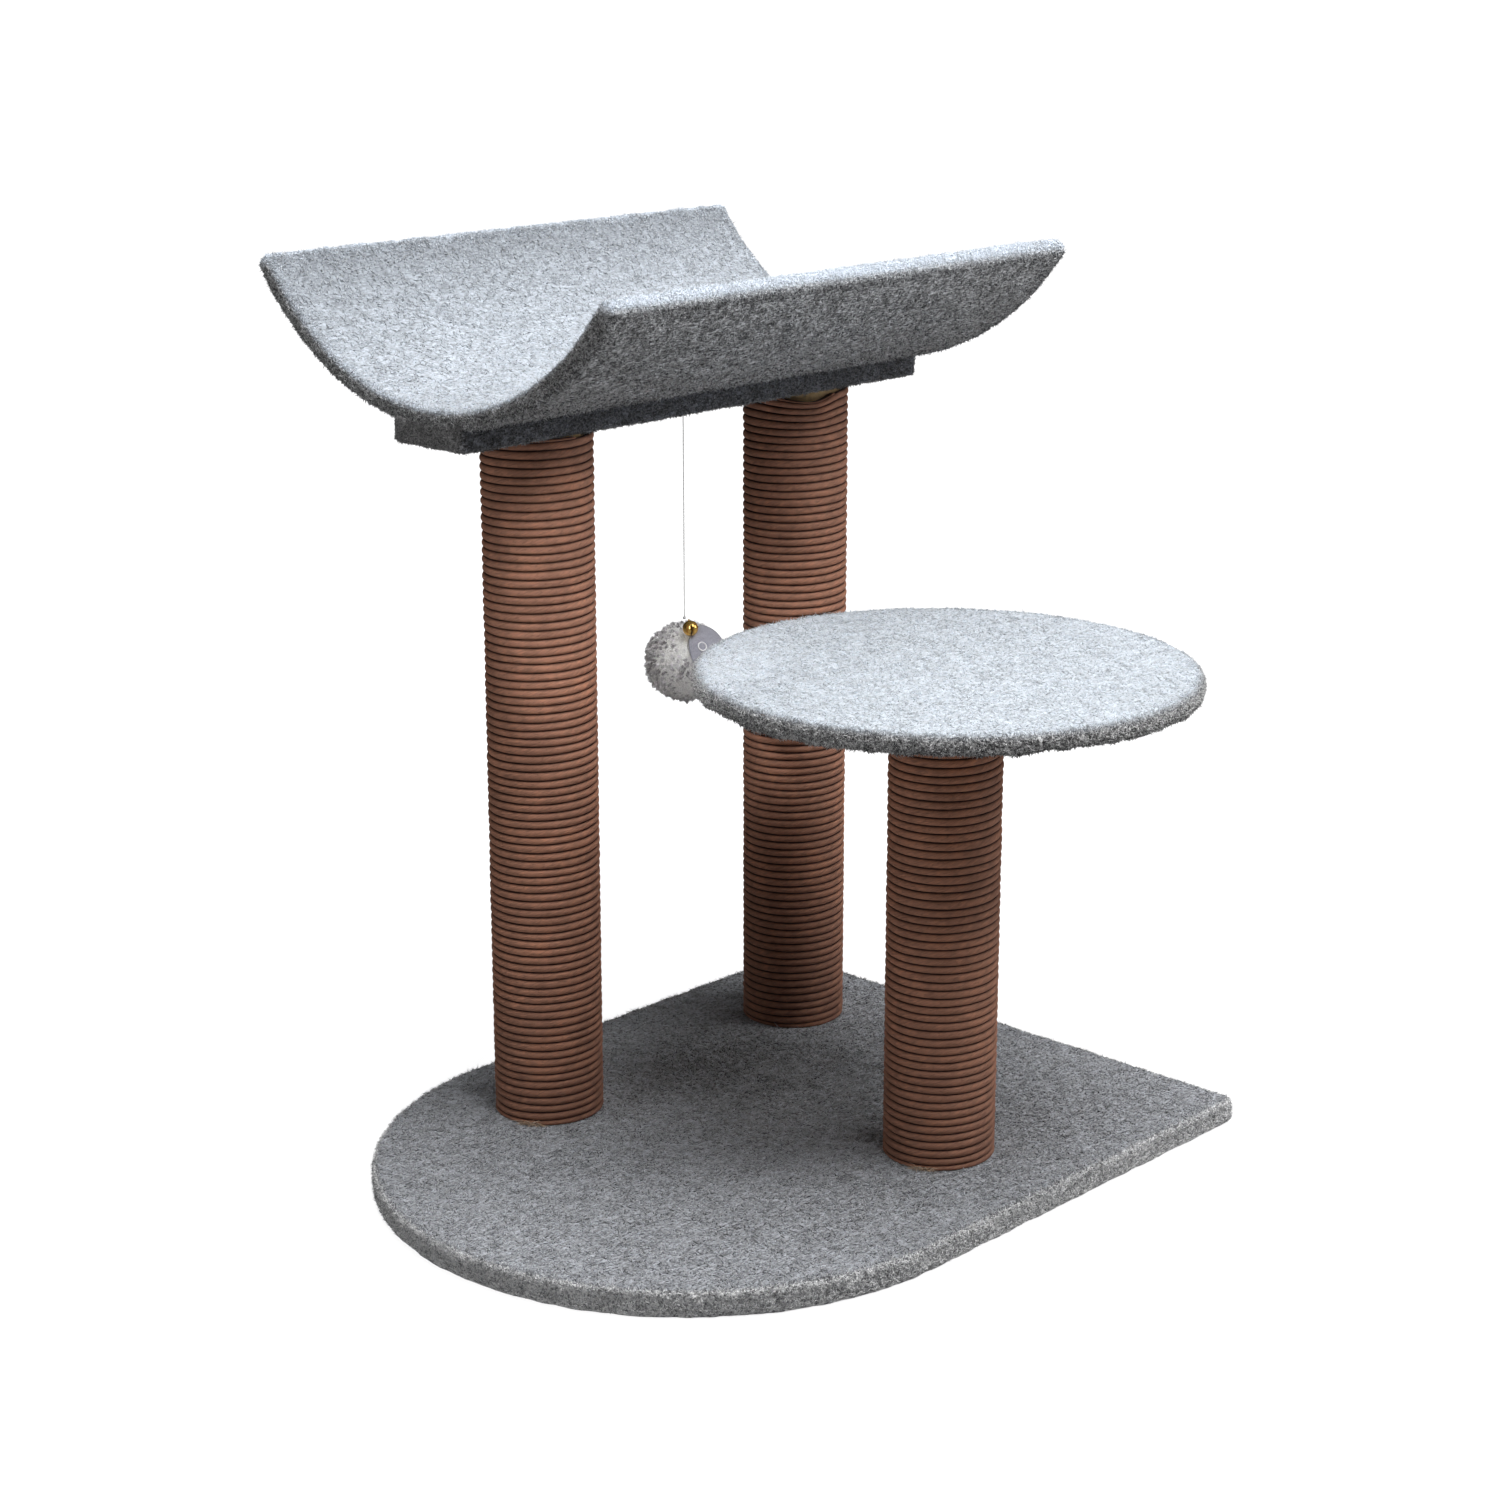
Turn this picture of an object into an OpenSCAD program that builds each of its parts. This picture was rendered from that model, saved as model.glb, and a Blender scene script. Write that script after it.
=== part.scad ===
// Small cat tree: a D-shaped base, three rope-wrapped posts, a round platform on the short
// post, a curved cradle on the two tall posts and a plush toy that hangs on a string.
// Millimetres. X runs along the base towards its straight edge, Y towards the tall posts, Z up.
// The origin is on the floor, under the middle of the whole tree's footprint.

/* [Base] */
// Length of the base over its felt
base_l = 571; // [540:1:640]
// Width of the base over its felt
base_w = 453; // [430:1:500]
// Thickness of the base board
base_board_t = 16; // [14:1:22]

/* [Felt] */
// Thickness of the felt
felt_t = 2.2; // [1.6:0.1:3]
// Width of the hem turned under a board
hem_w = 30; // [24:1:40]
// Radius of the felt over the edge of a board
edge_r = 3; // [2:0.5:4]

/* [Posts] */
// Outer diameter of a post over its rope
post_d = 80; // [76:1:90]
// Diameter of the rope
rope_d = 6; // [5:0.5:7]
// Wall of the cardboard tube
tube_wall = 4; // [3:0.5:5]
// Height of the two tall posts
tall_post_h = 506; // [460:1:560]
// Height of the short post
short_post_h = 346; // [300:1:360]
// Distance between the centres of the tall posts
tall_post_gap = 266; // [250:1:290]
// Distance of the tall posts from the centreline of the base
tall_post_out = 133; // [125:1:140]
// Distance of the tall posts' midpoint from the middle of the base, along it
tall_post_along = 58; // [50:1:65]
// Distance of the short post from the centreline of the base
short_post_out = 128; // [120:1:140]
// Distance of the short post from the middle of the base, along it
short_post_along = 62; // [50:1:70]

/* [Platform] */
// Diameter of the platform over its felt
platform_d = 348; // [320:1:352]
// Thickness of the platform board
platform_board_t = 9; // [9:1:15]

/* [Cradle] */
// Length of the cradle over its felt
cradle_l = 462; // [440:1:500]
// Radius of the lying surface of the cradle
cradle_r = 205; // [195:1:240]
// Angle of the curve from its middle to one rim
cradle_angle = 56; // [45:1:60]
// Thickness of the bent shell of the cradle
shell_t = 8; // [6:1:10]
// Width of the board under the cradle, without its felt
support_w = 68; // [60:1:80]
// Thickness of the board under the cradle, without its felt
support_board_t = 9; // [9:1:15]

/* [Toy] */
// Diameter of the plush ball
ball_d = 64; // [50:1:66]
// Height of the middle of the ball above the floor
ball_z = 333; // [310:1:340]
// Distance of the string from the midpoint of the tall posts
string_along = 12; // [0:1:20]
// Diameter of the string
string_d = 1; // [0.8:0.1:1.5]
// Diameter of the bell
bell_d = 11.5; // [10:0.5:13]
// Direction in which the bell lies on the ball
bell_turn = 236; // [200:1:260]

/* [Hidden] */
$fn = 96;

// Heights of the layers, from the floor up
base_t = base_board_t + 2 * felt_t;
platform_board_z = base_t + short_post_h;
support_z = base_t + tall_post_h;
support_t = support_board_t + 2 * felt_t;
support_top_z = support_z + support_t;
sheet_t = shell_t + 2 * felt_t;
cradle_out_r = cradle_r + sheet_t;
cradle_axis_z = support_top_z + cradle_out_r;
cradle_half_w = cradle_out_r * sin(cradle_angle);

// The base's centre, moved so that the whole footprint lies round the origin
reach_right = max(base_l / 2, tall_post_along + cradle_l / 2);
reach_left = max(base_l / 2, cradle_l / 2 - tall_post_along);
reach_back = max(base_w / 2, tall_post_out + cradle_half_w);
reach_front = max(base_w / 2, short_post_out + platform_d / 2);
base_x = (reach_left - reach_right) / 2;
base_y = (reach_front - reach_back) / 2;

// Centres of the posts, the cradle and the toy, seen from above
cradle_at = [base_x + tall_post_along, base_y + tall_post_out, 0];
left_post_at = cradle_at - [tall_post_gap / 2, 0, 0];
right_post_at = cradle_at + [tall_post_gap / 2, 0, 0];
short_post_at = [base_x + short_post_along, base_y - short_post_out, 0];
post_places = [left_post_at, right_post_at, short_post_at];
top_places = [
    left_post_at + [0, 0, support_z],
    right_post_at + [0, 0, support_z],
    short_post_at + [0, 0, platform_board_z]
];
toy_at = cradle_at + [string_along, 0, 0];

// Posts and their fastenings
tube_d = post_d - 2 * rope_d;
tube_in_d = tube_d - 2 * tube_wall;
plug_t = 25;
bolt_d = 8;
insert_d = 12;
insert_h = 16;
hole_play = 0.1;
head_w = 13;
head_h = 5.3;
washer_d = 22;
washer_t = 1.5;
recess_d = 24;
recess_h = 8;
bolt_hole_d = 9;
flange_d = 20;
flange_t = 1.2;
barrel_d = 10;
screw_d = 4;
screw_head_d = 8;
screw_head_h = 3;
screw_l = 19;
screw_places = [for (x = [-190, -60, 60, 190]) cradle_at + [x, 0, cradle_axis_z - cradle_r - felt_t]];

// Staples
staple_wire = 0.8;
staple_w = 10;
staple_leg = 7;
rope_staple_leg = 9;
staple_sink = 0.1;
staple_step = 45;

// Toy: the string turns on its knot, at the middle of the knot
string_wire_z = support_z - 2.1;
loop_r = 1.3;
knot_d = 3;
knot_gap = 0.3;
pivot_z = string_wire_z - loop_r - string_d / 2 - knot_gap - knot_d / 2;
toy_knot_d = 2.6;
ball_top_z = ball_z + ball_d / 2;
toy_knot_z = ball_top_z + knot_gap + toy_knot_d / 2;
plush_wall = 3;
patch_t = 1.2;
patch_turn = 285;
patch_lift = 25;
patch_angle = 38;
ring_turn = 252;
ring_lift = 32;
ring_r = 3.2;
ring_wire = 1;

// Bell: it lies down the slope of the ball from the place where it is sewn on
bell_lift = 54;
bell_gap = 0.3;
bell_wall = 0.6;
bell_slot = 1.3;
bell_eye_r = 1.4;
bell_eye_wire = 0.8;
bell_out = ball_d / 2 + bell_gap + bell_d / 2;
bell_eye_z = -(bell_d / 2 + bell_eye_r - 0.3);
stitch_d = 0.7;
stitch_w = 4.4;
stitch_h = 8;
pellet_d = 3.6;
pellet_drop = bell_d / 2 - bell_wall - pellet_d / 2 - 0.2;

// Corner points of half a plate's section, with its edge rounded by r
function round_points(cx, cz, r, from) = [
    for (i = [0:4]) [cx + r * cos(from + 22.5 * i), cz + r * sin(from + 22.5 * i)]
];
function plate_half(half, t, r) = r == 0
    ? [[0, 0], [half, 0], [half, t], [0, t]]
    : concat(
        [[0, 0]],
        round_points(half - r, r, r, -90),
        round_points(half - r, t - r, r, 0),
        [[0, t]]
    );

// A plate with one half-round end, lying round the middle of its length
module d_plate(l, w, t, r) {
    mid = (w - l) / 2;
    straight = l / 2 - mid;
    translate([mid, 0, 0])
        rotate([0, 0, 90])
            rotate_extrude(angle = 180)
                polygon(plate_half(w / 2, t, r));
    intersection() {
        translate([mid, 0, 0])
            rotate([90, 0, 90])
                linear_extrude(height = straight) {
                    polygon(plate_half(w / 2, t, r));
                    mirror([1, 0, 0]) polygon(plate_half(w / 2, t, r));
                }
        translate([mid, w, 0])
            rotate([90, 0, 0])
                linear_extrude(height = 2 * w)
                    polygon(plate_half(straight, t, r));
    }
}

module disc(d, t, r) {
    rotate_extrude() polygon(plate_half(d / 2, t, r));
}

module pipe(d_out, d_in, h) {
    difference() {
        cylinder(d = d_out, h = h);
        translate([0, 0, -1]) cylinder(d = d_in, h = h + 2);
    }
}

// One wire staple, its crown along X below z = 0 and its legs going up
module staple(leg = staple_leg) {
    translate([-staple_w / 2, -staple_wire / 2, -staple_wire])
        cube([staple_w, staple_wire, staple_wire]);
    for (x = [-staple_w / 2, staple_w / 2 - staple_wire])
        translate([x, -staple_wire / 2, 0])
            cube([staple_wire, staple_wire, leg]);
}

// Section of the cradle's sheet: a band of an arc with its middle at the bottom
module arc_band(r_in, r_out, angle) {
    reach = 2 * r_out / cos(angle);
    intersection() {
        difference() {
            circle(r = r_out, $fn = 180);
            circle(r = r_in, $fn = 180);
        }
        polygon([[0, 0], [-reach * sin(angle), -reach * cos(angle)], [reach * sin(angle), -reach * cos(angle)]]);
    }
}

module cradle_sheet(r_in, r_out, angle, l) {
    translate(cradle_at + [-l / 2, 0, cradle_axis_z])
        rotate([90, 0, 90])
            linear_extrude(height = l)
                arc_band(r_in, r_out, angle);
}

module shell_solid() {
    edge_angle = 180 / PI * felt_t / cradle_out_r;
    cradle_sheet(cradle_r + felt_t, cradle_out_r - felt_t, cradle_angle - edge_angle, cradle_l - 2 * felt_t);
}

// Rods through the holes of the cradle's screws
module screw_holes() {
    for (p = screw_places)
        translate(p + [0, 0, -screw_l - 1]) cylinder(d = screw_d + hole_play, h = screw_l + 1.5);
}

// Rods through the holes of the bolts and studs
module post_holes(places, d, z, h) {
    for (p = places) translate([p[0], p[1], z]) cylinder(d = d, h = h);
}

module base_board() {
    color("tan") difference() {
        translate([base_x, base_y, felt_t])
            d_plate(base_l - 2 * felt_t, base_w - 2 * felt_t, base_board_t, 0);
        post_holes(post_places, bolt_hole_d, 0, base_t);
        post_holes(post_places, recess_d, 0, felt_t + recess_h);
    }
}

module base_cover() {
    color("slategray") difference() {
        translate([base_x, base_y, 0]) d_plate(base_l, base_w, base_t, edge_r);
        translate([base_x, base_y, felt_t])
            d_plate(base_l - 2 * felt_t, base_w - 2 * felt_t, base_board_t, 0);
        translate([base_x, base_y, -1])
            d_plate(base_l - 2 * hem_w, base_w - 2 * hem_w, felt_t + 2, 0);
        post_holes(post_places, bolt_hole_d, base_t - 2 * felt_t, 3 * felt_t);
    }
}

// Staples of the hem: round the half-round end, then along the three straight edges
module base_staples() {
    mid = (base_w - base_l) / 2;
    r = base_w / 2 - hem_w / 2;
    turns = floor(PI * r / staple_step);
    side_n = floor((base_l / 2 - mid - hem_w) / staple_step);
    end_n = floor((base_w - 2 * hem_w) / staple_step);
    color("silver") translate([base_x, base_y, staple_wire + staple_sink]) {
        translate([mid, 0, 0])
            for (i = [0:turns])
                rotate([0, 0, 90 + 180 * i / turns]) translate([r, 0, 0]) rotate([0, 0, 90]) staple();
        for (i = [1:side_n], y = [-r, r])
            translate([mid + staple_step * i, y, 0]) staple();
        for (i = [0:end_n])
            translate([base_l / 2 - hem_w / 2, staple_step * (i - end_n / 2), 0])
                rotate([0, 0, 90])
                    staple();
    }
}

module post_tube(place, h) {
    color("burlywood") translate(place + [0, 0, base_t]) pipe(tube_d, tube_in_d, h);
}

module post_rope(place, h) {
    color("sienna") translate(place + [0, 0, base_t]) pipe(post_d, tube_d, h);
}

module left_post_tube() post_tube(left_post_at, tall_post_h);
module right_post_tube() post_tube(right_post_at, tall_post_h);
module short_post_tube() post_tube(short_post_at, short_post_h);
module left_post_rope() post_rope(left_post_at, tall_post_h);
module right_post_rope() post_rope(right_post_at, tall_post_h);
module short_post_rope() post_rope(short_post_at, short_post_h);

module post_bottom_plugs() {
    color("peru")
        for (p = post_places)
            translate(p + [0, 0, base_t])
                difference() {
                    cylinder(d = tube_in_d, h = plug_t);
                    translate([0, 0, -1]) cylinder(d = bolt_hole_d, h = plug_t + 2);
                    translate([0, 0, -1]) cylinder(d = insert_d, h = insert_h + 1);
                }
}

module post_top_plugs() {
    color("peru")
        for (p = top_places)
            translate(p - [0, 0, plug_t])
                difference() {
                    cylinder(d = tube_in_d, h = plug_t);
                    translate([0, 0, -1]) cylinder(d = bolt_hole_d, h = plug_t + 2);
                    translate([0, 0, plug_t - insert_h]) cylinder(d = insert_d, h = insert_h + 1);
                }
}

module plug_inserts() {
    color("silver") {
        for (p = post_places)
            translate(p + [0, 0, base_t]) pipe(insert_d, bolt_d, insert_h);
        for (p = top_places)
            translate(p - [0, 0, insert_h]) pipe(insert_d, bolt_d, insert_h);
    }
}

// The two ends of each rope, held on the side that faces the wall
module rope_end_staples() {
    color("silver")
        for (i = [0:2], z = [base_t + staple_w / 2 + 1, top_places[i][2] - staple_w / 2 - 1])
            translate([post_places[i][0], post_places[i][1] + post_d / 2, z])
                rotate([0, 90, 90])
                    mirror([0, 0, 1])
                        staple(rope_staple_leg);
}

module base_bolts() {
    shank_h = base_t - felt_t - recess_h + washer_t + insert_h - 1;
    color("silver")
        for (p = post_places)
            translate(p + [0, 0, felt_t + recess_h - washer_t]) {
                cylinder(d = bolt_d - hole_play, h = shank_h);
                translate([0, 0, -head_h]) cylinder(d = head_w / cos(30), h = head_h, $fn = 6);
            }
}

module base_washers() {
    color("silver")
        for (p = post_places)
            translate(p + [0, 0, felt_t + recess_h - washer_t])
                pipe(washer_d, bolt_d + 0.4, washer_t);
}

// Studs that join a post's top to the board above it
module post_studs() {
    low = insert_h - 1;
    color("silver") {
        for (i = [0, 1])
            translate(top_places[i] - [0, 0, low])
                cylinder(d = bolt_d - hole_play, h = low + felt_t + support_board_t - flange_t);
        translate(top_places[2] - [0, 0, low])
            cylinder(d = bolt_d - hole_play, h = low + platform_board_t - flange_t);
    }
}

// One nut with its flange let into the top of a board; z = 0 is the board's upper face
module tee_nut(barrel_h) {
    difference() {
        union() {
            translate([0, 0, -flange_t]) cylinder(d = flange_d, h = flange_t);
            translate([0, 0, -barrel_h]) cylinder(d = barrel_d, h = barrel_h);
        }
        translate([0, 0, -barrel_h - 1]) cylinder(d = bolt_d, h = barrel_h + 2);
    }
}

module tee_nuts() {
    color("silver") {
        for (i = [0, 1])
            translate(top_places[i] + [0, 0, felt_t + support_board_t]) tee_nut(support_board_t);
        translate(top_places[2] + [0, 0, platform_board_t]) tee_nut(platform_board_t);
    }
}

module tee_nut_hole(place, z, t) {
    translate([place[0], place[1], z - 1]) cylinder(d = barrel_d, h = t + 2);
    translate([place[0], place[1], z + t - flange_t]) cylinder(d = flange_d, h = flange_t + 1);
}

module platform_board() {
    color("tan") difference() {
        translate(top_places[2]) disc(platform_d - 2 * felt_t, platform_board_t, 0);
        tee_nut_hole(short_post_at, platform_board_z, platform_board_t);
    }
}

module platform_cover() {
    t = platform_board_t + 2 * felt_t;
    color("slategray")
        translate(top_places[2] - [0, 0, felt_t])
            difference() {
                disc(platform_d, t, edge_r);
                translate([0, 0, felt_t]) disc(platform_d - 2 * felt_t, platform_board_t, 0);
                translate([0, 0, -1]) cylinder(d = platform_d - 2 * hem_w, h = felt_t + 2);
            }
}

module platform_staples() {
    r = (platform_d - hem_w) / 2;
    turns = floor(2 * PI * r / staple_step);
    color("silver")
        translate(top_places[2] - [0, 0, felt_t])
            for (i = [0:turns - 1])
                rotate([0, 0, 360 * i / turns]) translate([r, 0, 0]) rotate([0, 0, 90]) staple();
}

module support_plate(l, w, t) {
    translate(cradle_at - [l / 2, w / 2, 0]) cube([l, w, t]);
}

module support_board() {
    color("tan") difference() {
        translate([0, 0, support_z + felt_t])
            support_plate(cradle_l - 2 * felt_t, support_w, support_board_t);
        tee_nut_hole(left_post_at, support_z + felt_t, support_board_t);
        tee_nut_hole(right_post_at, support_z + felt_t, support_board_t);
        screw_holes();
    }
}

module support_cover() {
    color("dimgray") difference() {
        translate([0, 0, support_z]) support_plate(cradle_l, support_w + 2 * felt_t, support_t);
        translate([0, 0, support_z + felt_t])
            support_plate(cradle_l - 2 * felt_t, support_w, support_board_t);
        post_holes([left_post_at, right_post_at], bolt_hole_d, support_z - 1, felt_t + 2);
        screw_holes();
    }
}

// Staples of the seam where the two edges of the felt meet, under the board
module support_staples() {
    clear = post_d / 2 + 12;
    spots = [
        for (x = [-210:30:210])
            if (abs(abs(x) - tall_post_gap / 2) > clear && abs(x - string_along) > 12) x
    ];
    color("silver")
        for (x = spots)
            translate(cradle_at + [x, 0, support_z])
                rotate([0, 0, 90])
                    staple();
}

module cradle_shell() {
    color("tan") difference() {
        shell_solid();
        screw_holes();
        for (p = screw_places)
            translate(p - [0, 0, screw_head_h])
                cylinder(d1 = screw_d + hole_play, d2 = screw_head_d + hole_play, h = screw_head_h);
        for (p = screw_places)
            translate(p) cylinder(d = screw_head_d + hole_play, h = 1);
    }
}

module cradle_cover() {
    color("lightsteelblue") difference() {
        cradle_sheet(cradle_r, cradle_out_r, cradle_angle, cradle_l);
        shell_solid();
        for (p = screw_places)
            translate([p[0], p[1], support_top_z - 1]) cylinder(d = screw_d + hole_play, h = felt_t + 2);
    }
}

module cradle_screws() {
    color("silver")
        for (p = screw_places)
            translate(p) {
                translate([0, 0, -screw_head_h])
                    cylinder(d1 = screw_d, d2 = screw_head_d, h = screw_head_h - 0.1);
                translate([0, 0, -screw_l]) cylinder(d = screw_d, h = screw_l - screw_head_h + 0.1);
            }
}

// A bent wire under the board, across the string: a round crown and two legs
module toy_staple() {
    color("silver")
        translate([toy_at[0], toy_at[1], string_wire_z]) {
            rotate([90, 0, 0]) cylinder(d = 1, h = 10, center = true, $fn = 32);
            for (y = [-5, 5])
                translate([0, y, -0.5]) cylinder(d = 1, h = 9, $fn = 32);
        }
}

module string_loop() {
    color("whitesmoke")
        translate([toy_at[0], toy_at[1], string_wire_z])
            rotate([90, 0, 0])
                rotate_extrude()
                    translate([loop_r, 0]) circle(d = string_d, $fn = 24);
}

module string_knot() {
    color("whitesmoke") translate([toy_at[0], toy_at[1], pivot_z]) sphere(d = knot_d);
}

// Route of the string, from under its knot straight down to the knot on the ball
string_route = [
    toy_at + [0, 0, pivot_z - knot_d / 2 - knot_gap],
    toy_at + [0, 0, toy_knot_z]
];
string_rings = 61;
string_sides = 8;

// One ring of points round the string, at part t of its route
function string_ring(t) = [
    for (k = [0:string_sides - 1])
        (1 - t) * string_route[0] + t * string_route[1]
            + string_d / 2 * [cos(360 * k / string_sides), sin(360 * k / string_sides), 0]
];

module toy_string() {
    n = string_sides;
    last = string_rings - 1;
    points = [for (i = [0:last]) each string_ring(i / last)];
    sides = [
        for (i = [0:last - 1], k = [0:n - 1])
            [i * n + k, i * n + (k + 1) % n, (i + 1) * n + (k + 1) % n, (i + 1) * n + k]
    ];
    top = [for (k = [n - 1:-1:0]) k];
    bottom = [for (k = [0:n - 1]) last * n + k];
    color("whitesmoke") polyhedron(points = points, faces = concat(sides, [top, bottom]));
}

module toy_knot() {
    color("whitesmoke") translate([toy_at[0], toy_at[1], toy_knot_z]) sphere(d = toy_knot_d);
}

module on_ball() {
    translate([toy_at[0], toy_at[1], ball_z]) children();
}

module toy_plush() {
    color("gainsboro") on_ball() difference() {
        sphere(d = ball_d);
        sphere(d = ball_d - 2 * plush_wall);
    }
}

module toy_filling() {
    color("white") on_ball() sphere(d = ball_d - 2 * plush_wall);
}

// A smooth round patch sewn on the plush
module toy_patch() {
    color("thistle") on_ball() intersection() {
        difference() {
            sphere(d = ball_d + 2 * patch_t);
            sphere(d = ball_d);
        }
        rotate([0, 90 - patch_lift, patch_turn])
            cylinder(r1 = 0, r2 = ball_d * tan(patch_angle), h = ball_d);
    }
}

module toy_patch_ring() {
    color("whitesmoke") on_ball()
        rotate([0, 90 - ring_lift, ring_turn])
            translate([0, 0, ball_d / 2 + patch_t + ring_wire / 2])
                rotate_extrude()
                    translate([ring_r, 0]) circle(d = ring_wire, $fn = 24);
}

// Puts its children at the middle of the bell, upright
module at_bell() {
    on_ball()
        rotate([0, 0, bell_turn])
            translate([bell_out * cos(bell_lift), 0, bell_out * sin(bell_lift)])
                children();
}

// Turns its children as the bell lies: their z runs from the bell's eye to its slot
module on_bell() {
    at_bell() rotate([0, 180 - bell_lift, 0]) children();
}

// Thread through the bell's eye, with both ends sewn down into the plush
module bell_stitch() {
    color("whitesmoke") on_bell()
        translate([0, 0, bell_eye_z]) {
            rotate([90, 0, 0]) cylinder(d = stitch_d, h = stitch_w, center = true, $fn = 24);
            for (y = [-stitch_w / 2, stitch_w / 2])
                translate([-stitch_d / 2, y, 0])
                    rotate([0, 90, 0])
                        cylinder(d = stitch_d, h = stitch_h, $fn = 24);
        }
}

module bell_shell() {
    color("gold") on_bell() {
        difference() {
            sphere(d = bell_d);
            sphere(d = bell_d - 2 * bell_wall);
            translate([-bell_d, -bell_slot / 2, bell_d * 0.12]) cube([2 * bell_d, bell_slot, bell_d]);
        }
        translate([0, 0, bell_eye_z])
            rotate([90, 0, 0])
                rotate_extrude()
                    translate([bell_eye_r, 0]) circle(d = bell_eye_wire, $fn = 24);
    }
}

module bell_pellet() {
    color("silver") at_bell() translate([0, 0, -pellet_drop]) sphere(d = pellet_d);
}

base_board();
base_cover();
base_staples();
left_post_tube();
right_post_tube();
short_post_tube();
left_post_rope();
right_post_rope();
short_post_rope();
post_bottom_plugs();
post_top_plugs();
plug_inserts();
rope_end_staples();
base_bolts();
base_washers();
post_studs();
tee_nuts();
platform_board();
platform_cover();
platform_staples();
support_board();
support_cover();
support_staples();
cradle_shell();
cradle_cover();
cradle_screws();
toy_staple();
string_loop();
string_knot();
toy_string();
toy_knot();
toy_plush();
toy_filling();
toy_patch();
toy_patch_ring();
bell_stitch();
bell_shell();
bell_pellet();
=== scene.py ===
"""Cat tree: felt-covered boards, rope-wrapped posts and a plush toy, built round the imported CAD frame.

Everything is in metres in the CAD's own frame: +X along the base towards its straight edge, +Y towards
the tall posts, +Z up, origin on the floor.
"""
import itertools
import math
import bpy
import numpy as np
from mathutils import Euler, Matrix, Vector


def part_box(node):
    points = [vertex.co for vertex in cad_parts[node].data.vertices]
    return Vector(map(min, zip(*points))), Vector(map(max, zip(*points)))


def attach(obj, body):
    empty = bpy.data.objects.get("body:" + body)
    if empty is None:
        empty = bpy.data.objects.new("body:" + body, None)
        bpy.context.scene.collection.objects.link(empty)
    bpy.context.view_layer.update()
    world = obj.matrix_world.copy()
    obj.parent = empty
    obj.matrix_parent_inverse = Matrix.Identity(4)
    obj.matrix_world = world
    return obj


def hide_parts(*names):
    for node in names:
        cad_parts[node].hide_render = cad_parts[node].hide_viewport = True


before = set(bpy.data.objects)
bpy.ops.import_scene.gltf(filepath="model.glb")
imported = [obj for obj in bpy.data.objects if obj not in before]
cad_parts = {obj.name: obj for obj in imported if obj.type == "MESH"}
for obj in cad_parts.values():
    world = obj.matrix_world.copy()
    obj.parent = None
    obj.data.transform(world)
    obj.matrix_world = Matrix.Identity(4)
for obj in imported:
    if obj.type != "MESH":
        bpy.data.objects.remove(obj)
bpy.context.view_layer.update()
MM = 0.001

# The camera, which stands to the left of the front and looks slightly down
CAMERA_PLACE = (-1.4728, -1.4028, 0.8956)
CAMERA_TURN = 46.49
CAMERA_DOWN = 16.22
CAMERA_LENS = 72.05

# The toy's string, from the knot under the board down to the knot on the ball
STRING_ROUTE = [(0.06825, 0.12738, 0.5189), (0.06825, 0.12738, 0.3666)]
STRING_D = 1 * MM
STRING_POINTS = 25

# Felt
FELT_T = 2.2 * MM
HEM_W = 30 * MM
SLIT = 1 * MM
MESH_STEP = 3.2 * MM
FIBRES = 49000
FLOOR_REACH = 8 * MM

# Cradle
CRADLE_R = 205 * MM
CRADLE_ANGLE = math.radians(56)
CRADLE_T = 12.4 * MM
cradle_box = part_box("cradle_cover")
CRADLE_RIM = (cradle_box[0].y + cradle_box[1].y) / 2, cradle_box[1].z

# Rope
ROPE_D = 6 * MM
ROPE_STEPS = 96
FRAY_FIBRES = 110

# Toy: directions in which the patch and the bell lie on the ball, as (turn, lift) in degrees
PATCH_AT = (278, 25)
PATCH_ANGLE = math.radians(41)
BELL_AT = (236, 54)
FUR_BODY = 0.85
FUR_LENGTH = 4.8 * MM
TUFTS = 1300
TUFT_SPACING = 0.09
HAIRS = 12000

# Studio
FLOOR_HALF = 8.0
TOY_BEAM_W = 215
TOY_BEAM_REACH = 1.1
TOY_BEAM_FROM = (211, 24)


# ---------------------------------------------------------------- points and meshes

def noise(points, size, seed):
    """A smooth random field from -1 to 1 whose lumps are about as large as size."""
    table = np.random.default_rng(seed).uniform(-1, 1, (64, 64, 64))
    scaled = points / size
    cell = np.floor(scaled).astype(int)
    part = scaled - cell
    part = part * part * (3 - 2 * part)
    total = np.zeros(len(points))
    for corner in itertools.product((0, 1), repeat=3):
        weight = np.prod(np.where(corner, part, 1 - part), axis=1)
        at = (cell + corner) % 64
        total += weight * table[at[:, 0], at[:, 1], at[:, 2]]
    return total


def unit(vectors):
    return vectors / np.maximum(np.linalg.norm(vectors, axis=-1, keepdims=True), 1e-12)


def direction(turn, lift):
    turn, lift = math.radians(turn), math.radians(lift)
    return np.array([
        math.cos(lift) * math.cos(turn),
        math.cos(lift) * math.sin(turn),
        math.sin(lift),
    ])


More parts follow.
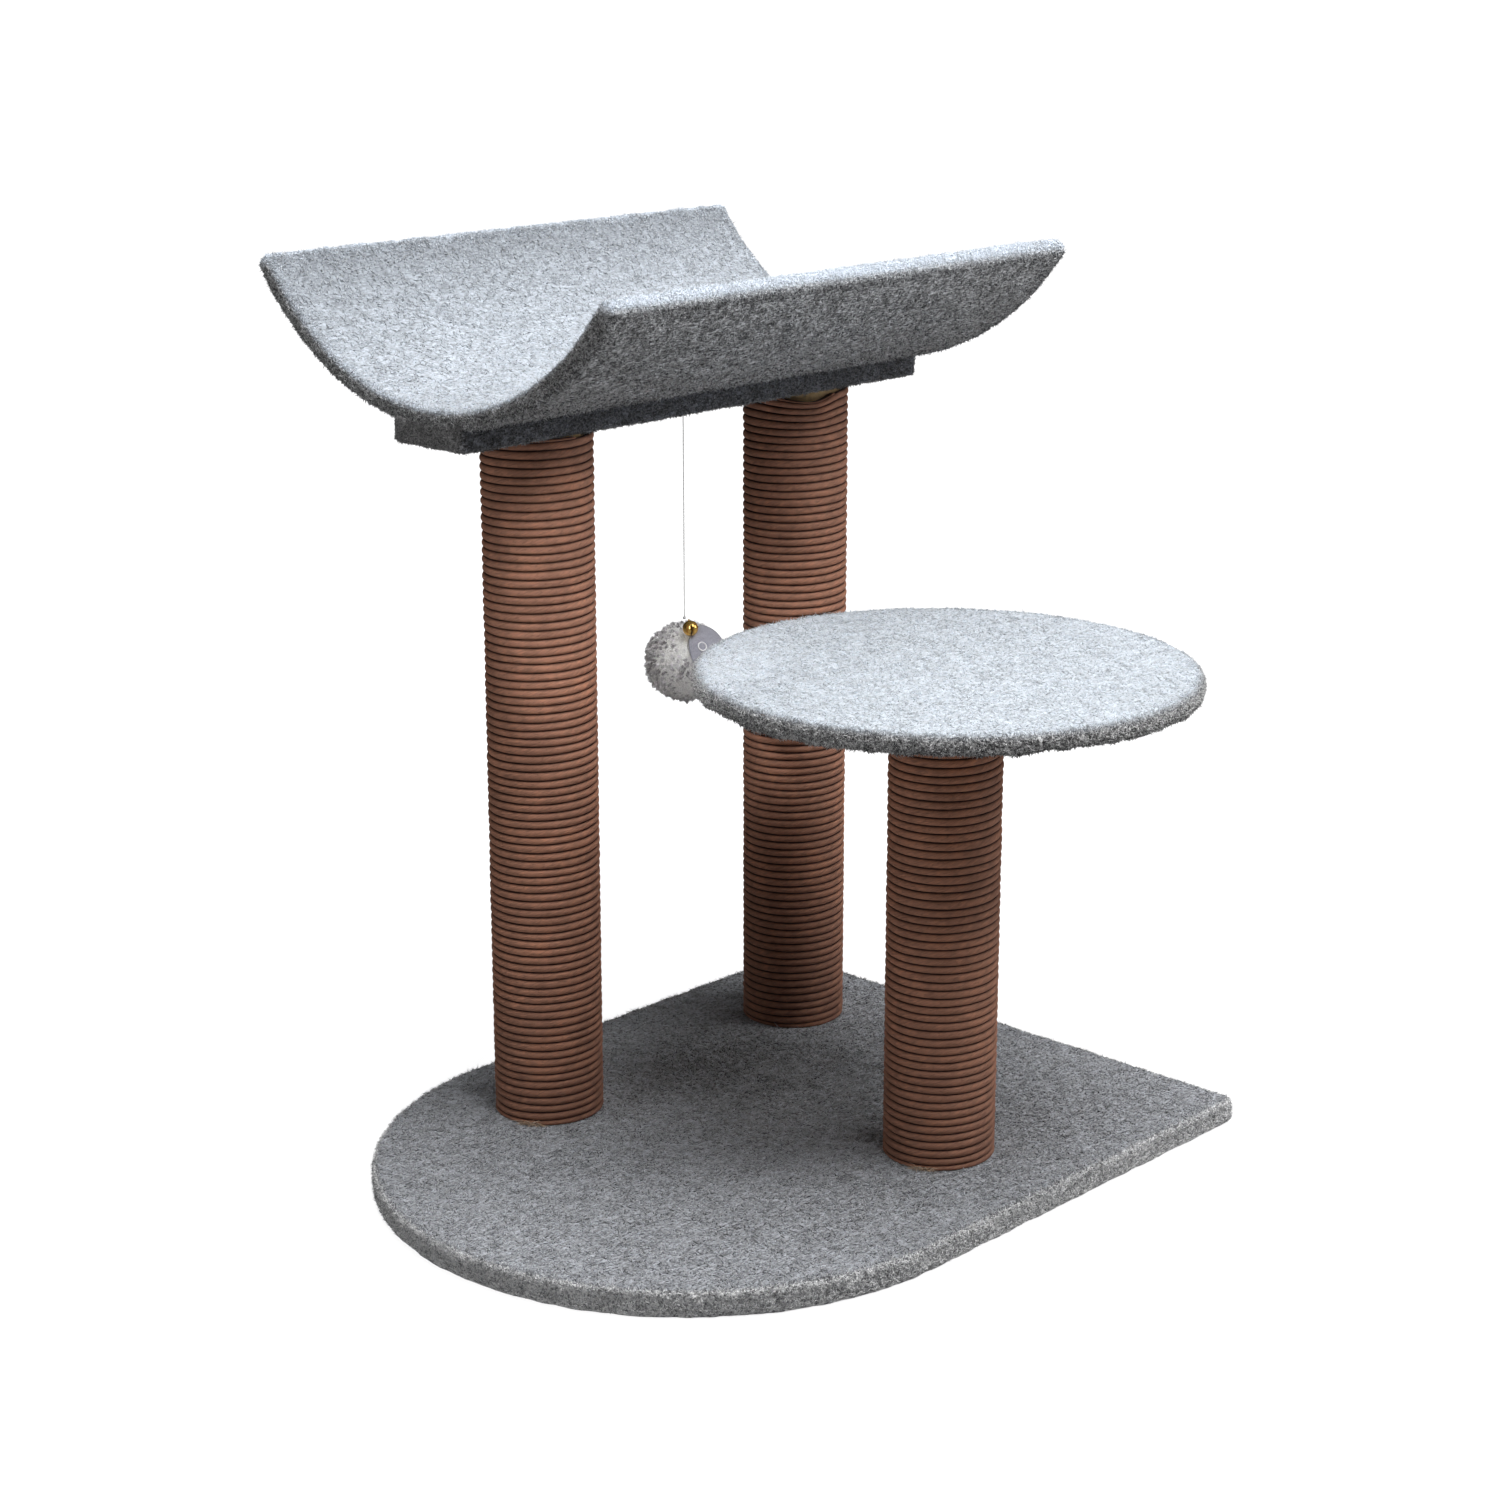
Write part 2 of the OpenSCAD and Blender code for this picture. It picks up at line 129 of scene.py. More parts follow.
def mesh_object(name, points, face_sets, smooth=True, attributes=None, corners_uv=None):
    """A mesh from points and arrays of faces, each array holding faces of one size."""
    counts = np.concatenate([np.full(len(f), f.shape[1]) for f in face_sets])
    corners = np.concatenate([f.ravel() for f in face_sets])
    mesh = bpy.data.meshes.new(name)
    mesh.vertices.add(len(points))
    mesh.vertices.foreach_set("co", points.astype(np.float32).ravel())
    mesh.loops.add(len(corners))
    mesh.loops.foreach_set("vertex_index", corners.astype(np.int32))
    mesh.polygons.add(len(counts))
    starts = np.concatenate([[0], np.cumsum(counts)[:-1]])
    mesh.polygons.foreach_set("loop_start", starts.astype(np.int32))
    mesh.polygons.foreach_set("use_smooth", np.full(len(counts), smooth))
    mesh.update(calc_edges=True)
    mesh.validate()
    for key, values in (attributes or {}).items():
        mesh.attributes.new(key, "FLOAT", "POINT").data.foreach_set("value", values.astype(np.float32))
    if corners_uv is not None:
        mesh.uv_layers.new(name="along").data.foreach_set("uv", corners_uv.astype(np.float32).ravel())
    made = bpy.data.objects.new(name, mesh)
    bpy.context.scene.collection.objects.link(made)
    return made


def vertex_normals(points, quads):
    across = np.cross(points[quads[:, 2]] - points[quads[:, 0]], points[quads[:, 3]] - points[quads[:, 1]])
    total = np.zeros_like(points)
    for corner in range(4):
        np.add.at(total, quads[:, corner], across)
    return unit(total)


def ring_quads(rings, count):
    """Quads between rings of count points that follow one another."""
    i = np.arange(rings - 1)[:, None]
    k = np.arange(count)[None, :]
    after, beside = i + 1, (k + 1) % count
    return np.stack([
        i * count + k,
        after * count + k,
        after * count + beside,
        i * count + beside,
    ], -1).reshape(-1, 4)


def strip_cap(first, count, flip):
    """Faces that close a ring whose two halves mirror each other, by strips from one half to the other."""
    half = count // 2
    k = np.arange(1, half - 1)
    quads = np.stack([k, k + 1, count - k - 1, count - k], -1) + first
    ends = np.array([[0, 1, count - 1], [half - 1, half, half + 1]]) + first
    return (quads[:, ::-1], ends[:, ::-1]) if flip else (quads, ends)


def outline(low, high, half_w, r_low, r_high, inset, steps):
    """Points counter-clockwise round a plate from x = low to x = high, moved in by inset, from the middle
    of its +X side. r_low and r_high round its corners, and steps are the points on each stretch of a half.
    """
    low, high, w = low + inset, high - inset, half_w - inset
    least = min(1 * MM, w / 2)
    r_high = max(r_high - inset, least) if steps[0] else w
    r_low = max(r_low - inset, least) if steps[4] else w

    def line(a, b, n):
        t = np.arange(n)[:, None] / max(n, 1)
        return np.array([a]) * (1 - t) + np.array([b]) * t

    def arc(x, r, start, n):
        a = start + math.pi / 2 * np.arange(n) / n
        return np.stack([x + r * np.cos(a), w - r + r * np.sin(a)], -1)

    half = np.concatenate([
        line((high, 0), (high, w - r_high), steps[0]),
        arc(high - r_high, r_high, 0, steps[1]),
        line((high - r_high, w), (low + r_low, w), steps[2]),
        arc(low + r_low, r_low, math.pi / 2, steps[3]),
        line((low, w - r_low), (low, 0), steps[4]),
        [(low, 0)],
    ])
    return np.concatenate([half, half[-2:0:-1] * (1, -1)])


def felt_profile(half, thick, rim, low_rim, hem):
    """(inset, height, outside) of a cover's rings: from the middle of the top over the rim and along the
    hem, then back on the inside. outside is 1 where the felt shows."""
    bend = np.linspace(0, math.pi / 2, 5)
    top = [(i, thick) for i in np.linspace(half - SLIT, rim, round((half - rim) / MESH_STEP), endpoint=False)]
    over = [(rim - rim * math.sin(a), thick - rim + rim * math.cos(a)) for a in bend]
    side_n = max(2, round((thick - rim - low_rim) / (2.5 * MM)))
    side = [(0, z) for z in np.linspace(thick - rim, low_rim, side_n + 1)[1:-1]]
    under = [(low_rim - low_rim * math.cos(a), low_rim - low_rim * math.sin(a)) for a in bend]
    back_n = max(2, round((hem - low_rim) / MESH_STEP))
    back = [(i, 0) for i in np.linspace(low_rim, hem, back_n + 1)[1:]]
    shown = top + over + side + under + back
    edge = [(hem + SLIT / 2, FELT_T / 3), (hem + SLIT / 2, FELT_T * 2 / 3)]
    floor_n = max(2, round(hem / (12 * MM)))
    floor = [(i, FELT_T) for i in np.linspace(hem, FELT_T, floor_n)]
    roof_n = max(3, round(half / (20 * MM)))
    roof = [(i, thick - FELT_T) for i in np.linspace(FELT_T, half - SLIT, roof_n)]
    return [(i, z, 1) for i, z in shown] + [(i, z, 0) for i, z in edge + floor + roof]


def felt_cover(name, outline_at, profile, place, seed, lumps=None):
    """A sheet of felt wrapped round a board, with the small unevenness of felt. place turns outline points
    and a height into points of the frame. Returns the object with what its fuzz needs."""
    rings = [place(outline_at(inset), height) for inset, height, _ in profile]
    count = len(rings[0])
    points = np.concatenate(rings)
    outside = np.repeat([float(row[2]) for row in profile], count)
    quads = ring_quads(len(rings), count)
    if lumps:
        points = points + lumps(points, np.repeat([row[1] for row in profile], count)) * outside[:, None]
    normals = vertex_normals(points, quads)
    inset = np.repeat([row[0] for row in profile], count)
    rim = np.exp(-inset / (6 * MM))
    waves = (0.28 + 0.22 * rim) * noise(points, 11 * MM, seed)
    lumpy = (0.14 + 0.3 * rim) * noise(points, 5 * MM, seed + 1)
    points = points + normals * ((waves + lumpy) * MM * outside)[:, None]
    points[:, 2] = np.maximum(points[:, 2], 0.1 * MM)
    caps = strip_cap(0, count, False) + strip_cap((len(rings) - 1) * count, count, True)
    made = mesh_object(name, points, [quads, *caps])
    return made, points, quads, normals, outside, inset


def scatter(points, quads, normals, weight, count, seed):
    """Random places on a surface of quads, more of them where the weight of its points is larger."""
    random = np.random.default_rng(seed)
    a, b, d = (points[quads[:, c]] for c in (0, 1, 3))
    area = np.linalg.norm(np.cross(b - a, d - a), axis=1) * weight[quads].min(axis=1)
    chosen = random.choice(len(quads), count, p=area / area.sum())
    u, v = random.random((2, count, 1))
    corner = quads[chosen]
    shares = [(1 - u) * (1 - v), u * (1 - v), u * v, (1 - u) * v]
    at = sum(s * points[corner[:, c]] for c, s in enumerate(shares))
    up = unit(sum(s * normals[corner[:, c]] for c, s in enumerate(shares)))
    return at, up


def hairs(name, roots, heading, bend, lengths, widths, seed, rings=2, places=None):
    """Closed, three-sided, tapered hairs. heading is the direction at the root and bend the way it curls.
    With one ring they are plain cones. places holds attributes of the places where they stand."""
    random = np.random.default_rng(seed)
    count = len(roots)
    heading = unit(heading)
    side = unit(np.cross(heading, random.normal(size=(count, 3))))
    other = np.cross(heading, side)
    turn = random.uniform(0, 2 * math.pi, count)
    share = np.linspace(0, 1, rings + 1)
    per = rings * 3 + 1
    points = np.zeros((count, per, 3))
    for j, s in enumerate(share):
        middle = roots + lengths[:, None] * (heading * s + bend * s * s / 2)
        if j == rings:
            points[:, -1] = middle
            break
        radius = widths / 2 * (1 - 0.75 * s)
        for k in range(3):
            a = turn + 2 * math.pi * k / 3
            spoke = side * np.cos(a)[:, None] + other * np.sin(a)[:, None]
            points[:, j * 3 + k] = middle + spoke * radius[:, None]
    quads = [
        (j * 3 + k, j * 3 + (k + 1) % 3, (j + 1) * 3 + (k + 1) % 3, (j + 1) * 3 + k)
        for j in range(rings - 1)
        for k in range(3)
    ]
    last = (rings - 1) * 3
    triangles = [(2, 1, 0)] + [(last + k, last + (k + 1) % 3, per - 1) for k in range(3)]
    start = (np.arange(count) * per)[:, None, None]
    shapes = (quads, triangles) if quads else (triangles,)
    face_sets = [(start + np.array(faces)[None]).reshape(-1, len(faces[0])) for faces in shapes]
    tint = np.repeat(random.random(count), per)
    attributes = {"tint": tint, "along": np.tile(np.append(np.repeat(share[:-1], 3), 1), count)}
    attributes.update({key: np.repeat(values, per) for key, values in (places or {}).items()})
    return mesh_object(name, points.reshape(-1, 3), face_sets, attributes=attributes)


def ball_mesh(centre, radius, rings, count, height):
    """Points and quads of a ball whose surface is moved by height(directions), with small open ends."""
    lift = np.linspace(-math.pi / 2 + 0.03, math.pi / 2 - 0.03, rings)
    turn = np.arange(count) * 2 * math.pi / count
    lift, turn = (x.ravel() for x in np.meshgrid(lift, turn, indexing="ij"))
    ways = np.stack([np.cos(lift) * np.cos(turn), np.cos(lift) * np.sin(turn), np.sin(lift)], -1)
    points = centre + ways * (radius + height(ways))[:, None]
    return points, ring_quads(rings, count)[:, ::-1], ways


# ---------------------------------------------------------------- materials

class Shader:
    """A material's nodes: add() makes one, and takes numbers, colours or other nodes' outputs as inputs."""

    def __init__(self, name):
        self.material = bpy.data.materials.new(name)
        self.material.use_nodes = True
        self.tree = self.material.node_tree
        self.surface = self.tree.nodes["Principled BSDF"]

    def add(self, kind, inputs=None, **settings):
        made = self.tree.nodes.new("ShaderNode" + kind)
        for key, value in settings.items():
            setattr(made, key, value)
        self.put(made, inputs or {})
        return made

    def put(self, made, inputs):
        for key, value in inputs.items():
            if isinstance(value, bpy.types.NodeSocket):
                self.tree.links.new(value, made.inputs[key])
            else:
                made.inputs[key].default_value = value

    def set(self, **inputs):
        self.put(self.surface, {key.replace("_", " "): value for key, value in inputs.items()})
        return self.material

    def coordinates(self, kind="Object", stretch=(1, 1, 1), turn=(0, 0, 0)):
        source = self.add("TexCoord").outputs[kind]
        mapping = {"Vector": source, "Scale": stretch, "Rotation": [math.radians(a) for a in turn]}
        return self.add("Mapping", mapping).outputs[0]

    def noise(self, size, detail=2, rough=0.5, distortion=0.0, vector=None):
        """Noise whose lumps are about as large as size, in metres."""
        inputs = {"Scale": 1 / size, "Detail": detail, "Roughness": rough, "Distortion": distortion}
        inputs["Vector"] = vector or self.coordinates()
        return self.add("TexNoise", inputs).outputs[0]

    def strand(self, width, length, turn):
        """Noise drawn out into short strands of that width and length."""
        vector = self.coordinates(stretch=(width / length, 1, 1), turn=turn)
        return self.noise(width, detail=1, distortion=0.35, vector=vector)

    def math(self, operation, a, b):
        return self.add("Math", {0: a, 1: b}, operation=operation).outputs[0]

    def weigh(self, *pairs):
        """The sum of values, each times its weight."""
        total = None
        for value, weight in pairs:
            part = self.math("MULTIPLY", value, weight)
            total = part if total is None else self.math("ADD", total, part)
        return total

    def spread(self, value, low, high, new_low=0.0, new_high=1.0):
        inputs = {0: value, 1: low, 2: high, 3: new_low, 4: new_high}
        return self.add("MapRange", inputs).outputs[0]

    def ramp(self, value, *stops):
        made = self.add("ValToRGB", {0: value})
        elements = made.color_ramp.elements
        while len(elements) < len(stops):
            elements.new(0.5)
        for element, (at, colour) in zip(elements, stops):
            element.position = at
            element.color = (*colour, 1)
        return made.outputs[0]

    def heather(self, value, low, high, colour, contrast):
        """Dark to light fibres of a colour, as value goes from low to high."""
        parts = ((0, -1.3), (0.35, -0.5), (0.65, 0.3), (1, 1.3))
        return self.ramp(value, *(
            (low + (high - low) * at, shade(colour, max(0.04, 1 + contrast * part))) for at, part in parts
        ))

    def lit_and_shaded(self, value, low, high, slope, away, greys):
        """A felt's colour, with painted light and shade: plain where level, darker on slopes as painted
        shade, and its edge colour where turned away from the light, as painted shade, and on the base as
        painted light.
        """
        colour, contrast, edge, edge_contrast = greys
        level = self.heather(value, low, high, colour, contrast)
        sloping = self.heather(value, low, high, shade(colour, SLOPE_SHADE), contrast)
        turned = self.heather(value, low, high, edge, edge_contrast)
        return self.mix(away, self.mix(slope, level, sloping), turned)

    def mix(self, factor, a, b):
        made = self.add("Mix", data_type="RGBA")
        a, b = (x if hasattr(x, "node") else (*x, 1) for x in (a, b))
        self.put(made, {0: factor, 6: a, 7: b})
        return made.outputs[2]

    def bump(self, height, distance, strength):
        inputs = {"Height": height, "Distance": distance, "Strength": strength}
        return self.add("Bump", inputs).outputs[0]


def shade(colour, factor):
    return tuple(min(1.0, c * factor) for c in colour)


# How far felt is turned away from the light: by its normal's height, or on the support by how far it
# faces sideways. There felt takes its edge colour, which is painted shade, and on the base painted light.
# On slopes it is painted a little darker: painted shade.
UP_RANGE = (0.5, 0.1)
BASE_RANGE = (0.98, 0.65)
PLATFORM_RANGE = (0.97, 0.3)
SIDE_RANGE = (0.3, 0.9)
SLOPE_RANGE = (1.0, 0.6)
SLOPE_SHADE = 0.48

# The outer side of the cradle's rims is painted lighter down to RIM_REACH and gets none of the felt's
# painted shade there: painted light. RIM_OUTWARD is where a face counts as turned outward: its normal's
# y times its distance from the cradle's middle.
RIM_REACH = 12 * MM
RIM_OUTWARD = (-0.12, 0.0)


def felt_material(name, colour, contrast, edge, edge_contrast, turned=UP_RANGE, rim=None):
    """Heathered felt: fibres of darker and lighter grey pressed together. edge is its colour where it is
    turned away from the light, which is painted shade, and on the base painted light; slopes are painted
    darker as painted shade. rim is the middle's y and the height of two rims along x, where the felt is
    painted lighter: painted light."""
    s = Shader(name)
    light = [s.strand(1.5 * MM, 6 * MM, turn) for turn in ((0, 0, 15), (0, 0, 75), (0, 60, 130))]
    dark = [s.strand(1.4 * MM, 5 * MM, turn) for turn in ((0, 0, 45), (0, 0, 105), (0, 60, 0))]
    light = s.math("MAXIMUM", s.math("MAXIMUM", light[0], light[1]), light[2])
    dark = s.math("MINIMUM", s.math("MINIMUM", dark[0], dark[1]), dark[2])
    specks = s.noise(2.2 * MM, detail=3, rough=0.6, distortion=0.5)
    clouds = s.noise(9 * MM, detail=3, rough=0.55)
    value = s.weigh((light, 0.29), (dark, 0.29), (specks, 0.24), (clouds, 0.18))
    normal = s.add("SeparateXYZ", {0: s.add("NewGeometry").outputs["Normal"]}).outputs
    facing = s.math("ABSOLUTE", normal[1], 0) if turned is SIDE_RANGE else normal[2]
    away, slope = s.spread(facing, *turned), s.spread(normal[2], *SLOPE_RANGE)
    if rim:
        _, y, height = s.add("SeparateXYZ", {0: s.add("TexCoord").outputs["Object"]}).outputs
        outward = s.math("MULTIPLY", normal[1], s.math("SUBTRACT", y, rim[0]))
        # Painted light: the outer side of the rim is painted lighter and gets none of the painted shade.
        rim_painted_light = s.spread(height, rim[1] - RIM_REACH, rim[1] - 2 * MM)
        rim_painted_light = s.math("MULTIPLY", rim_painted_light, s.spread(outward, *RIM_OUTWARD))
        below_rim = s.math("SUBTRACT", 1, rim_painted_light)
        value = s.weigh((value, 1), (rim_painted_light, 0.1))
        away, slope = s.math("MULTIPLY", away, below_rim), s.math("MULTIPLY", slope, below_rim)
    toned = s.lit_and_shaded(value, 0.41, 0.58, slope, away, (colour, contrast, edge, edge_contrast))
    relief = s.weigh((specks, 0.4), (light, 0.4), (dark, 0.2))
    return s.set(
        Base_Color=toned, Roughness=0.95, Normal=s.bump(relief, 1.2 * MM, 0.9),
        Sheen_Weight=0.6, Sheen_Roughness=0.5,
    )


def fuzz_material(name, colour, contrast, edge, edge_contrast):
    """Single fibres that stand off the felt, each of its own grey, with the felt's painted light and shade
    read from their slope and away attributes.
    """
    s = Shader(name)
    keys = ("tint", "slope", "away")
    tint, slope, away = (s.add("Attribute", attribute_name=key).outputs["Fac"] for key in keys)
    tone = s.lit_and_shaded(tint, 0, 1, slope, away, (colour, contrast, edge, edge_contrast))
    return s.set(Base_Color=tone, Roughness=0.9, Sheen_Weight=0.6, Sheen_Roughness=0.5)


def rope_material(name, colour):
    """Twisted paper rope: long fibres that run at a slant round it, creases, and slow changes of brown. Its
    creases, the grooves between its turns and its foot are painted darker: painted shade.
    """
    s = Shader(name)
    lay = s.coordinates("UV", stretch=(1, 1, 0), turn=(0, 0, -24))
    streaks = s.add("TexNoise", {
        "Vector": s.add("Mapping", {"Vector": lay, "Scale": (110, 1500, 1)}).outputs[0],
        "Scale": 1, "Detail": 3, "Roughness": 0.6,
    }).outputs[0]
    folds = s.add("TexNoise", {
        "Vector": s.add("Mapping", {"Vector": lay, "Scale": (70, 420, 1)}).outputs[0],
        "Scale": 1, "Detail": 1, "Distortion": 0.3,
    }).outputs[0]
    crease = s.math("ABSOLUTE", s.math("SUBTRACT", folds, 0.5), 0)
    crease = s.spread(crease, 0.0, 0.035, 1.0, 0.0)
    clouds = s.noise(28 * MM, detail=3)
    spots = s.noise(7 * MM, detail=2)
    value = s.weigh((streaks, 0.5), (clouds, 0.3), (spots, 0.2))
    brown = s.ramp(
        value,
        (0.34, shade(colour, 0.7)),
        (0.5, colour),
        (0.66, (colour[0] * 1.42, colour[1] * 1.34, colour[2] * 1.25)),
    )
    # Painted shade: the creases are painted darker as well as pressed in by the bump.
    brown = s.mix(s.math("MULTIPLY", crease, 0.35), brown, shade(colour, 0.35))
    across = s.add("SeparateXYZ", {0: s.add("TexCoord").outputs["UV"]}).outputs[1]
    # Painted shade: the rope is painted darker towards the sides of its section, in the grooves between
    # turns.
    groove_shade = s.spread(s.math("ABSOLUTE", across, 0), 0.33 * ROPE_D, 0.62 * ROPE_D)
    height = s.add("SeparateXYZ", {0: s.add("TexCoord").outputs["Object"]}).outputs[2]
    # Painted shade: the rope is painted about 30 % darker at its foot, fading out by 150 mm up.
    painted_foot_shade = s.spread(height, 20 * MM, 150 * MM, 0.35, 0.0)
    brown = s.mix(s.math("MAXIMUM", groove_shade, painted_foot_shade), brown, shade(colour, 0.12))
    relief = s.weigh((streaks, 0.35), (crease, -0.4), (spots, 0.25))
    normal = s.bump(relief, 0.8 * MM, 0.9)
    rough = s.spread(streaks, 0.3, 0.7, 0.62, 0.85)
    return s.set(Base_Color=brown, Roughness=rough, Normal=normal, Specular_IOR_Level=0.35)


def wood_material(name, colour, grain, size):
    """Plywood or pressed board, with grain along X as much as grain says."""
    s = Shader(name)
    lines = s.noise(size, detail=4, rough=0.6, vector=s.coordinates(stretch=(1 - grain, 1, 1)))
    fine = s.noise(size / 6, detail=2, vector=s.coordinates(stretch=(1 - grain, 1, 1)))
    value = s.weigh((lines, 0.65), (fine, 0.35))
    tone = s.ramp(value, (0.3, shade(colour, 0.62)), (0.5, colour), (0.7, shade(colour, 1.25)))
    normal = s.bump(value, 0.4 * MM, 0.5)
    return s.set(Base_Color=tone, Roughness=0.75, Normal=normal)


def metal_material(name, colour, rough, metallic=1.0):
    """Plated metal with faint clouds and fine scratches."""
    s = Shader(name)
    clouds = s.noise(2.5 * MM, detail=3)
    scratches = s.noise(0.25 * MM, detail=2, vector=s.coordinates(stretch=(1, 0.15, 1), turn=(20, 35, 50)))
    value = s.weigh((clouds, 0.6), (scratches, 0.4))
    tone = s.ramp(value, (0.35, shade(colour, 0.78)), (0.65, shade(colour, 1.08)))
    roughness = s.spread(value, 0.3, 0.7, rough * 0.8, rough * 1.35)
    normal = s.bump(scratches, 0.05 * MM, 0.25)
    return s.set(Base_Color=tone, Metallic=metallic, Roughness=roughness, Normal=normal)


def thread_material(name, colour):
    """Sewing thread, with its ply as fine slanting lines."""
    s = Shader(name)
    ply = s.noise(0.35 * MM, detail=2, distortion=0.8)
    tone = s.ramp(ply, (0.35, shade(colour, 0.7)), (0.6, colour))
    return s.set(Base_Color=tone, Roughness=0.7, Normal=s.bump(ply, 0.15 * MM, 0.6), Sheen_Weight=0.3)


def clear_string_material():
    """Clear nylon, slightly milky, with faint changes of tone and gloss along it."""
    s = Shader("clear_string")
    milky = s.noise(3 * MM, detail=2, vector=s.coordinates(stretch=(1, 1, 0.3)))
    tone = s.ramp(milky, (0.3, (0.82, 0.83, 0.84)), (0.7, (0.96, 0.96, 0.96)))
    rough = s.spread(milky, 0.3, 0.7, 0.12, 0.3)
    return s.set(Base_Color=tone, Roughness=rough, Transmission_Weight=0.75, IOR=1.35, Alpha=0.45)


def fur_material(name, colour):
    """Curly pile, each hair of its own tone, with painted shade: darker at the roots and at the edges of the
    tufts.
    """
    s = Shader(name)
    tint = s.add("Attribute", attribute_name="tint").outputs["Fac"]
    along = s.add("Attribute", attribute_name="along").outputs["Fac"]
    clumps = s.noise(5 * MM, detail=1)
    value = s.weigh((tint, 0.7), (along, 0.25), (clumps, 0.05))
    tone = s.ramp(value, (0.22, shade(colour, 0.16)), (0.48, shade(colour, 0.62)), (0.72, shade(colour, 1.1)))
    return s.set(Base_Color=tone, Roughness=0.75, Sheen_Weight=1.0, Sheen_Roughness=0.35)


def pile_material(name, colour, size, depth):
    """Short soft pile, such as the patch's, the skin under the fur and the filling."""
    s = Shader(name)
    tufts = s.noise(size, detail=3, rough=0.6, distortion=0.5)
    clouds = s.noise(size * 8, detail=2)
    value = s.weigh((tufts, 0.7), (clouds, 0.3))
    tone = s.ramp(value, (0.33, shade(colour, 0.68)), (0.5, colour), (0.67, shade(colour, 1.28)))
    return s.set(
        Base_Color=tone, Roughness=0.9, Normal=s.bump(tufts, depth, 0.9),
        Sheen_Weight=0.35, Sheen_Roughness=0.4,
    )


# Each felt's colour and contrast, then those where it is turned away from the light: painted shade,
# and on the base, whose edge colour is lighter, painted light
BASE_GREY = (0.32, 0.335, 0.365), 0.62, (0.93, 0.93, 0.98), 0.9
PLATFORM_GREY = (0.56, 0.61, 0.67), 0.31, (0.38, 0.375, 0.38), 1.7
CRADLE_GREY = (0.50, 0.545, 0.605), 0.34, (0.27, 0.27, 0.275), 1.7
SUPPORT_GREY = (0.32, 0.315, 0.32), 0.9, (0.085, 0.088, 0.1), 1.5
ROPE_BROWN = (0.43, 0.207, 0.135)
PLUSH_GREY = (0.91, 0.875, 0.92)
LILAC = (0.33, 0.33, 0.385)

base_felt = felt_material("base_felt", *BASE_GREY, turned=BASE_RANGE)
platform_felt = felt_material("platform_felt", *PLATFORM_GREY, turned=PLATFORM_RANGE)
cradle_felt = felt_material("cradle_felt", *CRADLE_GREY, rim=CRADLE_RIM)
support_felt = felt_material("support_felt", *SUPPORT_GREY, turned=SIDE_RANGE)
base_fuzz_look = fuzz_material("base_fuzz", *BASE_GREY)
platform_fuzz_look = fuzz_material("platform_fuzz", *PLATFORM_GREY)
cradle_fuzz_look = fuzz_material("cradle_fuzz", *CRADLE_GREY)
support_fuzz_look = fuzz_material("support_fuzz", *SUPPORT_GREY)
rope_look = rope_material("paper_rope", ROPE_BROWN)
fray_look = fuzz_material("rope_fray", (0.60, 0.42, 0.28), 0.5, (0.60, 0.42, 0.28), 0.5)
board_look = wood_material("pressed_board", (0.42, 0.29, 0.17), 0.0, 4 * MM)
plywood_look = wood_material("plywood", (0.55, 0.40, 0.24), 0.9, 5 * MM)
cardboard_look = wood_material("cardboard", (0.50, 0.34, 0.17), 0.5, 3 * MM)
zinc_look = metal_material("zinc", (0.62, 0.63, 0.65), 0.35)
brass_look = metal_material("brass", (1.0, 0.60, 0.16), 0.2, metallic=0.85)
thread_look = thread_material("thread", (0.78, 0.77, 0.76))
ring_look = thread_material("ring_thread", (0.98, 0.98, 1.0))
knot_look = thread_material("string_knot", (0.85, 0.85, 0.86))
string_look = clear_string_material()
fur_look = fur_material("plush_fur", PLUSH_GREY)
# Painted shade: the skin under the fur is painted at 0.7 of the fur's grey, dark between the tufts.
shaded_skin_look = pile_material("plush_skin", shade(PLUSH_GREY, 0.7), 1.2 * MM, 1 * MM)
patch_look = pile_material("patch_pile", LILAC, 0.6 * MM, 0.4 * MM)
filling_look = pile_material("filling", (0.85, 0.85, 0.83), 1 * MM, 0.8 * MM)


def paint(obj, material):
    obj.data.materials.clear()
    obj.data.materials.append(material)
    return obj


# ---------------------------------------------------------------- camera, then the cord

def make_camera():
    data = bpy.data.cameras.new("camera")
    data.lens = CAMERA_LENS
    data.clip_start, data.clip_end = 0.05, 50
    made = bpy.data.objects.new("camera", data)
    made.location = CAMERA_PLACE
    made.rotation_euler = Euler((math.radians(90 - CAMERA_DOWN), 0, math.radians(-CAMERA_TURN)))
    bpy.context.scene.collection.objects.link(made)
    bpy.context.scene.camera = made


def make_string():
    """The clear string, taut under the ball's weight."""
    start, end = (Vector(p) for p in STRING_ROUTE)
    data = bpy.data.curves.new("toy_string", "CURVE")
    data.dimensions = "3D"
    data.bevel_depth = STRING_D / 2
    data.bevel_resolution = 3
    data.use_fill_caps = True
    spline = data.splines.new("POLY")
    spline.points.add(STRING_POINTS - 1)
    for i, point in enumerate(spline.points):
        point.co = (*start.lerp(end, i / (STRING_POINTS - 1)), 1)
    made = bpy.data.objects.new("string", data)
    bpy.context.scene.collection.objects.link(made)
    paint(made, string_look)
    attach(made, "toy_swing")
    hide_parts("toy_string")


make_camera()
make_string()


# ---------------------------------------------------------------- felt

def flat_place(centre_y, low_z):
    """Places a plate's outline points at a height above its underside."""
    def place(at, height):
        return np.column_stack([at[:, 0], at[:, 1] + centre_y, np.full(len(at), low_z + height)])
    return place


def rim_weight(inset, outside, reach, inner):
    """Where the fuzz grows: thick on the rim, up to reach from it, and thin elsewhere."""
    return outside * np.clip(1 - inset / reach, inner, 1)


